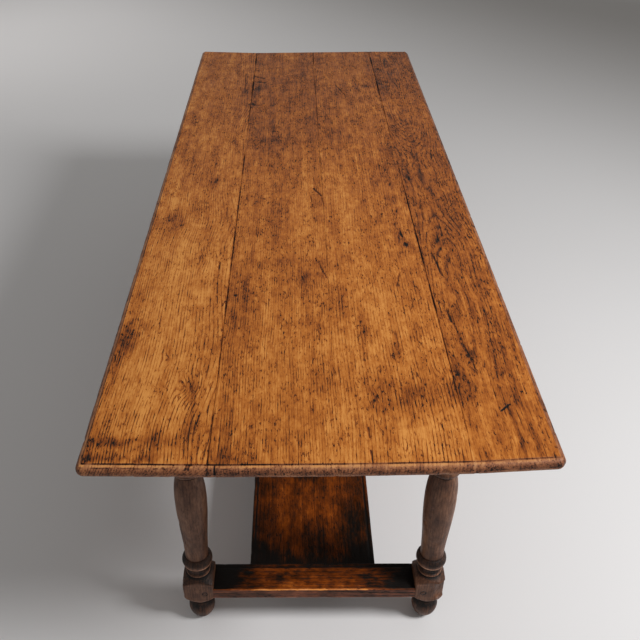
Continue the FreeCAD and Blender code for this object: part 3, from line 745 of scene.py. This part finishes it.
def legMarks(node, seed, grid, level, turned, overSquare, blockCorner):
    # Outline that bulges is rubbed pale, outline that dips is darker
    leg = legTurning
    around = [turnedRadius(np.clip(level + shift, 0, leg["height"])).clip(0, 50) for shift in (-6, -3, 3, 6)]
    swell = np.where(turned < 50, turned - np.mean(around, axis=0), 0)
    patch = noise(grid, (30, 30, 70), seed + 21)
    dirtAndShade = np.clip(-swell * 0.32 + 0.12 * patch, 0, 0.75)
    rubbed = np.clip(swell * 0.14 * (0.7 + patch), 0, 0.55) + 0.25 * blockCorner.clip(0, 1)
    # low block: its flat faces are rubbed paler up to the arc where the shoulder starts, and the shoulder
    # has painted shade; the ring and the bead above have a painted highlight on the lower lip and painted
    # shade on the upper side
    band = {name: between(*heights, level) for name, heights in leg["bands"].items()}
    onFace = smooth(-0.5, 1.5, overSquare) * (1 - smooth(300, 320, level))
    arcLip = bell(overSquare, 1.4) * band["arcLip"]
    # painted shade on the shoulder, strongest on the front left leg
    shoulder = band["shoulder"] * (1 - onFace) * leg["shoulderShade"].get(node, 0.5)
    # painted highlights on the lower lips of the ring and the bead
    ringHighlight, beadHighlight = [bell(level - height, half) for height, half in leg["highlightLips"]]
    highlightLips = np.maximum(ringHighlight, 0.6 * beadHighlight) * np.clip(0.85 + 0.6 * patch, 0.3, 1.2)
    # dirt in the seam round each stretcher peg, on the outer face
    pegX, pegHeight, pegRadius = leg["pegSeam"]
    seam = bell(np.hypot(np.abs(grid[..., 0]) - pegX, level - pegHeight) - pegRadius, 1.3)
    seam = seam * (np.abs(grid[..., 1]) > abs(leg["places"][node][1]) + 28)
    dirtAndShade = dirtAndShade * (1 - 0.9 * unit(highlightLips)) * (1 - 0.6 * band["lessDarkening"])
    # the shoulder, ring-top and under-block terms are painted shade; the seam is dirt
    dirtAndShade = np.maximum.reduce([dirtAndShade, 0.1 * shoulder, 0.35 * band["shadedRingTop"], 0.4 * band["shadeUnderBlock"], seam])
    # the lips' term is a painted highlight
    rubbed = rubbed + 1.9 * highlightLips + 0.06 * onFace + 0.8 * arcLip
    # painted shade on the shoulder, under the block, on the ring's top and in the cove goes into the stain
    stain = (0.35 * patch - 0.1 + 0.75 * shoulder + 0.5 * (1 - smooth(58, 78, level))
             + 0.5 * band["shadeUnderBlock"] + 0.6 * band["shadedRingTop"] + 0.9 * band["cove"] - 1.2 * highlightLips
             + 0.2 * smooth(420, 470, level) - 0.16 * smooth(222, 240, level))
    return np.stack([dirtAndShade, stain, rubbed * 0.6], -1)


def addLeg(node, seed):
    # Radius by angle and height = the smaller of the lathe outline and the square timber, softly joined
    leg = legTurning
    centreX, centreY = leg["places"][node]
    even = np.linspace(0, 2 * math.pi, leg["angles"], endpoint=False)
    angle = even + 0.15 * np.sin(4 * even)
    cosA, sinA = np.cos(angle), np.sin(angle)
    power = leg["squarePower"]
    square = leg["half"] / (np.abs(cosA) ** power + np.abs(sinA) ** power) ** (1 / power)
    level = np.repeat(legRows()[:, None], leg["angles"], axis=1)
    turned = turnedRadius(level)
    radius = softMin(square, turned, leg["blend"])
    rubbed = leg["rubbed"]
    if node == rubbed["node"]:
        facing = np.cos(angle - math.radians(rubbed["facing"]))
        slope = np.where(facing > 0.2, rubbed["reach"] / np.maximum(facing, 0.2), 90)
        radius = softMin(radius, slope + 30 * (1 - between(*rubbed["heights"], level)), 0.8)

    def placed(radius):
        # Points at a radius about the leg's axis, one for each angle and level
        return np.stack([centreX + radius * cosA, centreY + radius * sinA, level], -1)

    points = placed(radius)
    wear = 0.3 + 0.3 * noise(points, (26, 26, 60), seed)
    wear += 0.8 * smooth(0.55, 1.0, noise(points, (20, 20, 26), seed + 5))
    blockCorner = np.where(turned > 45, np.maximum(radius - 38, 0) / 10, 0)
    wear += 1.3 * blockCorner * (0.6 + noise(points, (30, 30, 34), seed + 9))
    ends = np.minimum(smooth(-1, 6, level), smooth(-1, 6, leg["height"] - level))
    grid = placed(radius - np.clip(wear, 0, 3) * ends)
    mark = legMarks(node, seed, grid, level, turned, turned - square, blockCorner)
    pithX, pithY = leg["pith"]
    ring = np.hypot(grid[..., 0] - centreX - pithX, grid[..., 1] - centreY - pithY)
    ring += 3 * noise(grid * (0, 0, 1), (1, 1, 160), seed + 3)
    ring += 1.2 * noise(grid, (22, 22, 120), seed + 13)
    addTube("turned_" + node, grid, ring, mark, finishes["leg"], [node], "oak_legs", 50)


for number, node in enumerate(legTurning["places"]):
    addLeg(node, 100 + 40 * number)
print("legs: four turned legs")


# Rails and boards

def boardLoop(half, low, high, radii, step, grooves=()):
    # Closed outline of a board's section (across, up), from the low left corner round by the right:
    # straight runs and four corner arcs, with scratched grooves pressed into the upper face
    corners = [(half, low, -90), (half, high, 0), (-half, high, 90), (-half, low, 180)]
    points = []
    for (x, z, start), radius in zip(corners, radii):
        turn = np.radians(np.linspace(start, start + 90, 7))
        middleX, middleZ = x - math.copysign(radius, x), z + (radius if z == low else -radius)
        points.append(np.stack([middleX + radius * np.cos(turn), middleZ + radius * np.sin(turn)], -1))
    points = np.concatenate(points)
    runs = []
    for here, after in zip(points, np.roll(points, -1, axis=0)):
        count = max(1, int(np.hypot(*(after - here)) / step))
        runs.append(here + (after - here) * (np.arange(count) / count)[:, None])
    loop = np.concatenate(runs)
    upper = smooth(high - 1.5, high - 0.5, loop[:, 1])
    for place, width, depth in grooves:
        loop[:, 1] -= upper * depth * bell(loop[:, 0] - place, width)
    return loop


def boardSkin(board, markUp):
    # The section loop carried along the board's length, thinned by its wear, then turned to its own axis
    half, low, high, reach, seed = [board[key] for key in ("half", "low", "high", "reach", "seed")]
    loop = boardLoop(half, low, high, board["radii"], board["step"], board.get("grooves", ()))
    rows = np.linspace(-reach, reach, int(2 * reach / board["rowStep"]) + 1)
    along, across, up = np.broadcast_arrays(rows[:, None], loop[:, 0], loop[:, 1])
    flat = np.stack([along, across, up], -1)
    wear = np.clip(0.35 + 0.4 * noise(flat, (90, 40, 40), seed), 0, 1.4)
    wear += 0.9 * smooth(0.5, 1.0, noise(flat, (26, 18, 18), seed + 5))
    wear *= board.get("wear", 1.0)
    middle = (low + high) / 2
    outX, outZ = across / half, (up - middle) / (high - middle)
    dark, stain, pale, dip = markUp(along, across, up, flat)
    sideways = across - wear * np.sign(outX) * smooth(0.9, 1.0, np.abs(outX))
    upright = up - wear * np.sign(outZ) * smooth(0.7, 1.0, np.abs(outZ)) - dip
    pithAcross, pithUp = board["pith"]
    ring = np.hypot(across - pithAcross, up - pithUp)
    ring += 4 * noise(flat * (1, 0, 0), (300, 1, 1), seed + 3)
    ring += 1.5 * noise(flat, (180, 30, 30), seed + 9)
    mark = np.stack([dark, stain, pale], -1)
    if board["axis"] == "x":
        grid = np.stack([along, board["middle"] - sideways, upright], -1)
        return [part[:, ::-1] for part in (grid, ring, mark)]
    grid = np.stack([board["middle"] + sideways, along, upright], -1)
    return [part[::-1] for part in (grid, ring, mark)]


railSettings = {
    "axis": "x", "half": 35.5, "low": 100.5, "high": 132.5, "radii": [2.0, 2.0, 3.2, 1.6], "step": 2.2,
    "rowStep": 2.8, "reach": 231.0, "fromMiddle": 853.5, "pith": (70, 60), "grooves": [(25.5, 1.5, 1.6)],
    # the painted shade at the rail's ends starts and is full at these distances from the middle
    "wear": 0.45, "brownEnds": (95, 195), "endShadeSpan": (150, 208),
}
footBoardSettings = {
    "axis": "y", "half": 147.0, "low": 106.0, "high": 131.0, "radii": [3, 3.5, 3.5, 3], "step": 3.0,
    "rowStep": 6.0, "reach": 818.0, "middle": -2.5, "pith": (-30, 20), "seed": 700,
    # the painted shade at the board's ends starts and is full at these distances from the middle
    "grooves": [(137.0, 1.5, 1.6), (-137.0, 1.5, 1.6)], "brownEnds": (625, 820), "endShadeSpan": (735, 828),
}


def railMarks(along, across, up, flat):
    # Painted shade at the ends beside the legs, a warm worn middle, a worn outer arris painted pale as a
    # highlight, and one long crack
    # (across runs from the outer face, negative, to the inner face)
    patch = noise(flat, (60, 24, 24), 617)
    speckle = noise(flat, (13, 9, 9), 621)
    half, low, high = [railSettings[key] for key in ("half", "low", "high")]
    groovePlace = railSettings["grooves"][0][0]
    toEnd = np.abs(along - 4)
    brown = smooth(*railSettings["brownEnds"], toEnd + 32 * noise(flat, (50, 26, 26), 611))
    # painted shade at the ends beside the legs
    endShade = smooth(*railSettings["endShadeSpan"], toEnd + 18 * noise(flat, (40, 22, 22), 613))
    top = smooth(high - 5.5, high - 2, up)
    outer = smooth(2.5 - half, 0.5 - half, across)
    middle = bell(along, 190)
    # painted highlight along the worn outer arris
    arris = bell(across + half - 0.7, 1.7) * smooth(high - 5.5, high - 2.5, up)
    arris = arris * np.clip(0.85 + 0.4 * speckle + 0.3 * patch, 0.2, 1.2)
    lowLip = bell(up - low - 1, 1.6) * outer
    wander = 1.6 * noise(flat * (1, 0, 0), (26, 1, 1), 619)
    crackLine = up - (high - 8 - 7 * smooth(40, 225, along) + wander)
    crack = bell(crackLine, 1.3) * outer * smooth(20, 60, along)
    grooveLine = bell(across - groovePlace, 2.0) * top
    dark = np.maximum.reduce([0.85 * endShade * top, crack, 0.75 * grooveLine,
                              0.45 * unit(patch + 0.6 * speckle) * top])
    dark = dark * (1 - 0.85 * unit(arris))
    # the arris term is a painted highlight, the end terms painted shade
    stain = (0.3 * patch + 0.5 * speckle * top + 0.8 * brown * top + 1.0 * top * smooth(22, 27, across)
             - 1.9 * arris * (1 - 0.2 * endShade) - 0.2 * (1 - brown) * top + 0.02 * outer - 0.6 * lowLip)
    dip = arris * (0.8 * middle + 0.8 * unit(speckle)) + 0.4 * middle * top + 0.9 * crack
    return dark, stain, 0.9 * outer * (1 - unit(arris)), dip


def boardMarks(along, across, up, flat):
    # Warm along the middle, darker at the edges, and painted shade, nearly black, at the last hand's breadth
    board = footBoardSettings
    groovePlace = board["grooves"][0][0]
    top = smooth(board["high"] - 5, board["high"] - 1, up)
    patch = noise(flat, (170, 120, 60), 717)
    speckle = noise(flat, (30, 14, 14), 709)
    side = smooth(60, 150, np.abs(across) + 26 * noise(flat, (160, 40, 40), 701))
    brown = smooth(*board["brownEnds"], np.abs(along) + 40 * side + 30 * noise(flat, (200, 140, 60), 713, 2))
    # painted shade at both ends
    endShade = smooth(*board["endShadeSpan"], np.abs(along) + 30 * side + 22 * noise(flat, (160, 120, 50), 715, 2))
    groove = bell(np.abs(across) - groovePlace, 1.8) * top
    dark = np.maximum.reduce([0.6 * endShade, 0.7 * groove, 0.3 * unit(patch + 0.7 * speckle - 0.1)])
    stain = 0.3 * side + 0.3 * patch + 0.35 * speckle + 0.55 * brown - 0.15 * (1 - side) * (1 - brown)
    rubbedLine = bell(np.abs(across) - groovePlace + 4.5, 1.8) * top * (1 - endShade)
    return dark, stain - 0.5 * rubbedLine, np.zeros_like(top), 0.7 * top * (1 - side)


for side, node in ((-1, "front_stretcher"), (1, "back_stretcher")):
    rail = dict(railSettings, seed=600 + side * 20, middle=side * railSettings["fromMiddle"])
    grid, ring, mark = boardSkin(rail, railMarks)
    if side < 0:
        # across runs outwards to inwards, so the front rail is turned half round
        grid[..., 1] = 2 * rail["middle"] - grid[..., 1]
        grid, ring, mark = grid[:, ::-1], ring[:, ::-1], mark[:, ::-1]
    addTube("rail_" + node, grid, ring, mark, finishes["stretcher"], [node], "oak_stretchers")
addTube("broad_foot_board", *boardSkin(footBoardSettings, boardMarks), finishes["board"], ["foot_board"],
        "oak_board")
print("low frame: two rails and the foot board")

apronSettings = {
    "half": 14.0, "low": 608.0, "high": 728.0, "radii": [3.5, 1, 1, 3.5], "step": 4.0, "rowStep": 8.0,
    "pith": (90, 560),
    # for each node: the axis it runs along, its place across that and its reach both ways
    "places": {"front_apron": ("x", -872, 231), "back_apron": ("x", 872, 231),
               "left_apron": ("y", -281.5, 821), "right_apron": ("y", 281.5, 821)},
}


def apronMarks(along, across, up, flat):
    # Dry boards, browner low down where hands reach
    patch = noise(flat, (160, 50, 60), 811)
    low = 1 - smooth(610, 650, up)
    return 0.25 * unit(patch), 0.4 * patch + 0.35 * low, 0.3 * low, np.zeros_like(low)


for number, (node, (axis, middle, reach)) in enumerate(apronSettings["places"].items()):
    apron = dict(apronSettings, axis=axis, middle=middle, reach=reach, seed=800 + 30 * number)
    finish = finishes["frameCross" if axis == "x" else "frameLong"]
    addTube("board_" + node, *boardSkin(apron, apronMarks), finish, [node], "oak_frame")
print("aprons: four boards")


# Pegs and the small parts that keep their shape

pegSettings = {
    "sides": 9, "turns": 36, "dome": 1.1, "chamfer": 0.9,
    # for each node: x, y and z of the peg ends' middles, the way in, length and diameter
    "groups": {
        "front_stretcher_pegs": ((-249.7, 249.7), (-890,), (116.5,), (0, 1, 0), 61.0, 9.5),
        "back_stretcher_pegs": ((-249.7, 249.7), (890,), (116.5,), (0, -1, 0), 61.0, 9.5),
        "front_apron_pegs": ((-246.15, 246.15), (-890,), (646, 690), (0, 1, 0), 35.0, 9.0),
        "back_apron_pegs": ((-246.15, 246.15), (890,), (646, 690), (0, -1, 0), 35.0, 9.0),
        "left_apron_pegs": ((-299.5,), (-836.65, 836.65), (646, 690), (1, 0, 0), 35.0, 9.0),
        "right_apron_pegs": ((299.5,), (-836.65, 836.65), (646, 690), (-1, 0, 0), 35.0, 9.0),
        "front_board_pegs": ((-102.46, -2.5, 97.46), (-834,), (100.5,), (0, 0, 1), 25.0, 8.0),
        "back_board_pegs": ((-102.46, -2.5, 97.46), (834,), (100.5,), (0, 0, 1), 25.0, 8.0),
    },
}


def addPegs(node, places, way, length, diameter, seed):
    # Whittled pegs: a nine-sided taper with softened facets, a chamfer and a low dome on the end that shows
    peg = pegSettings
    way = np.array(way, float)
    side = np.cross(way, (0.0, 0.0, 1.0) if abs(way[2]) < 0.5 else (1.0, 0.0, 0.0))
    lift = np.cross(way, side)
    angle = np.linspace(0, 2 * math.pi, peg["turns"], endpoint=False)
    facet = math.pi / peg["sides"]
    outline = 0.6 + 0.4 * np.cos(facet) / np.cos(angle % (2 * facet) - facet)
    shoulder = peg["dome"] + peg["chamfer"]
    depth = np.array([0, 0.15, 0.45, peg["dome"], shoulder, length * 0.5, length])
    radius = np.array([0.3, 0.55, 0.8, 0.95, 1, 0.99, 0.9])[:, None] * diameter / 2 * outline
    # dirt lies in the seam round the end, and the dome is rubbed
    seam = np.repeat(bell(depth - shoulder, 0.8)[:, None], peg["turns"], axis=1)
    mark = withEnds(np.stack([0.7 * seam, np.zeros_like(seam), 0.25 * (1 - seam)], -1))
    verts, quads, fans, rings = [], [], [], []
    for number, place in enumerate(places):
        turn = angle + 0.7 * number + seed
        loop = (radius * np.cos(turn))[..., None] * side + (radius * np.sin(turn))[..., None] * lift
        grid = np.array(place, float) + loop + depth[:, None, None] * way
        faces = closedSkin(grid, number * len(mark))
        quads.append(faces[0])
        fans.append(faces[1])
        verts.append(withEnds(grid))
        rings += [(radius + 7 * number).ravel(), [7.0 * number, 7.0 * number]]
    verts, quads, fans, rings = [np.concatenate(part) for part in (verts, quads, fans, rings)]
    addPiece("peg_" + node, verts, quads, rings, np.tile(mark, (len(places), 1)), finishes["peg"], [node],
             fans)


def ironFinish(name, iron):
    # Dark forged iron: brown rust where the wide noise is high, and a pitted skin
    material, kit, place = startMaterial(name)
    rust = place.noise((260, 260, 260), 4, 0.65).step(0.45, 0.65)
    pits = place.noise((1400, 1400, 1400), 3, 0.6)
    tone = rust * 0.7 + (pits - 0.5) * 0.5 + 0.1
    colour = kit.node("ValToRGB", {"stops": iron["ramp"]}, {"Fac": tone})
    normal = kit.node("Bump", None, {"Strength": 0.4, "Distance": 0.0003, "Height": pits - rust * 0.4})
    return endMaterial(material, kit, {"Base Color": colour, "Metallic": 0.85 - rust * 0.6,
                                       "Roughness": rust * 0.3 + 0.45, "Normal": normal})


screwIron = {"ramp": [(0, 58, 55, 53), (.5, 84, 66, 54), (1, 98, 56, 32)]}
finishes["peg"] = oakFinish("dark_oak_pegs", dict(legOak, grain="y", base=0.62, blotch=0.6, mottle=0.5))
finishes["button"] = oakFinish("dry_oak_buttons", dict(frameOakCross, base=0.42, blotch=0.5))
finishes["iron"] = ironFinish("rusted_iron", screwIron)
for number, (node, (xs, ys, zs, *peg)) in enumerate(pegSettings["groups"].items()):
    addPegs(node, [(x, y, z) for x in xs for y in ys for z in zs], *peg, number)
kept = {"_buttons": "button", "_joint_tongues": "frameLong", "button_screws": "iron"}
for node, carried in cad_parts.items():
    for ending, finish in kept.items():
        if node.endswith(ending):
            for materialSlot in carried.material_slots:
                materialSlot.material = finishes[finish]
print("pegs:", len(pegSettings["groups"]), "groups, small parts painted")


# Floor, light and camera

floorSettings = {
    "reach": 12, "middle": 1.5, "tones": [(0, 229, 229, 230), (1, 168, 166, 164)],
    "fade": (4.9, 6.8),  # distances over which it clears to the sky behind
}


def addFloor(floor):
    # Flat grid well past the picture
    line = np.linspace(-floor["reach"], floor["reach"], 9)
    x, y = np.meshgrid(line, line + floor["middle"])
    corners = np.stack([x, y, np.zeros_like(x)], -1).reshape(-1, 3)
    mesh = bpy.data.meshes.new("studio_floor")
    mesh.from_pydata(corners.tolist(), [], gridFaces(np.arange(x.size).reshape(x.shape)).tolist())
    material, kit, place = startMaterial("pale_studio_floor")
    east, north = [kit.node("SeparateXYZ", None, {0: place}, k) for k in range(2)]
    # painted shade: the floor's colour darkens towards the far right, where the light falls off
    falloffShade = ((east - 0.4) * 0.35 + (north - 1.2) * 0.3).step(0.3, 1.9)  # the far right falls away into grey
    shade = place.noise((0.9, 0.9, 0.9), 3, 0.5) * 0.06 + falloffShade
    colour = kit.node("ValToRGB", {"stops": floor["tones"]}, {"Fac": shade})
    away = kit.math("SQRT", east * east + (north - 0.8) * (north - 0.8))
    mesh.materials.append(endMaterial(material, kit, {
        "Base Color": colour, "Roughness": 0.85, "Alpha": 1 - away.step(*floor["fade"])}))
    addObject("studio_floor", mesh)


def setPose(thing, right, up, back, at):
    # Columns of the object's matrix: right, up, back and place
    pose = np.eye(4)
    pose[:3] = np.stack([right, up, back, at], -1)
    thing.matrix_world = Matrix(pose.tolist())


def addSoftbox(name, box):
    # A disk lamp at its place, turned to face its aim
    light = bpy.data.lights.new(name, "AREA")
    light.shape, light.size, light.energy = "DISK", box["size"], box["power"]
    light.color, light.spread = box["colour"], math.radians(box["spread"])
    at = np.array(box["place"])
    back = at - box["aim"]
    back /= np.linalg.norm(back)
    right = np.cross((0, 0, 1), back)
    right /= np.linalg.norm(right)
    setPose(addObject(name, light), right, np.cross(back, right), back, at)


studio = {
    "key": {"place": (2.65, -1.68, 3.07), "aim": (-0.5, 0.3, 0.3), "size": 1.15, "power": 96,
            "colour": (1.0, 0.99, 0.985), "spread": 150},
    "backdrop": {"place": (-3.2, 2.2, 3.6), "aim": (-2.0, 4.8, 0.0), "size": 1.2, "power": 13,
                 "colour": (1.0, 0.97, 0.95), "spread": 80},
    "skyLevel": 0.3, "skyTint": (1.0, 0.97, 0.94), "skySeen": 0.4,
}
addFloor(floorSettings)
addSoftbox("key_softbox", studio["key"])
addSoftbox("backdrop_light", studio["backdrop"])
world = bpy.data.worlds.new("studio")
world.use_nodes = True
world.node_tree.nodes.clear()
sky = Sock(world.node_tree)
rays = [sky.node("LightPath", None, None, "Is %s Ray" % kind)
        for kind in ("Camera", "Glossy", "Transmission")]
seen = sky.math("MAXIMUM", rays[0], sky.math("MAXIMUM", rays[1], rays[2]))
level = seen * (studio["skySeen"] - studio["skyLevel"]) + studio["skyLevel"]
glow = sky.node("Background", None, {"Color": (*studio["skyTint"], 1), "Strength": level})
sky.node("OutputWorld", None, {"Surface": glow})
bpy.context.scene.world = world

viewFrom = {"eye": (-0.04714, -1.99385, 1.6717), "pitch": 0.618397, "yaw": 0.0107875, "roll": 0.005142,
            "lens": 44.251, "shiftX": 0.03089}


def addCamera(view):
    # Looks along yaw and pitch, then turns by roll about its own axis
    pitch, yaw, roll = view["pitch"], view["yaw"], view["roll"]
    level = np.array([math.cos(yaw), -math.sin(yaw), 0])
    ahead = np.array([math.sin(yaw) * math.cos(pitch), math.cos(yaw) * math.cos(pitch), -math.sin(pitch)])
    rise = np.cross(level, ahead)
    right = math.cos(roll) * level + math.sin(roll) * rise
    up = math.cos(roll) * rise - math.sin(roll) * level
    lens = bpy.data.cameras.new("photo_view")
    lens.lens, lens.sensor_width, lens.shift_x = view["lens"], 36.0, view["shiftX"]
    camera = addObject("photo_view", lens)
    setPose(camera, right, up, -ahead, view["eye"])
    bpy.context.scene.camera = camera


addCamera(viewFrom)
bpy.context.scene.view_settings.view_transform = "Standard"

bpy.context.view_layer.update()
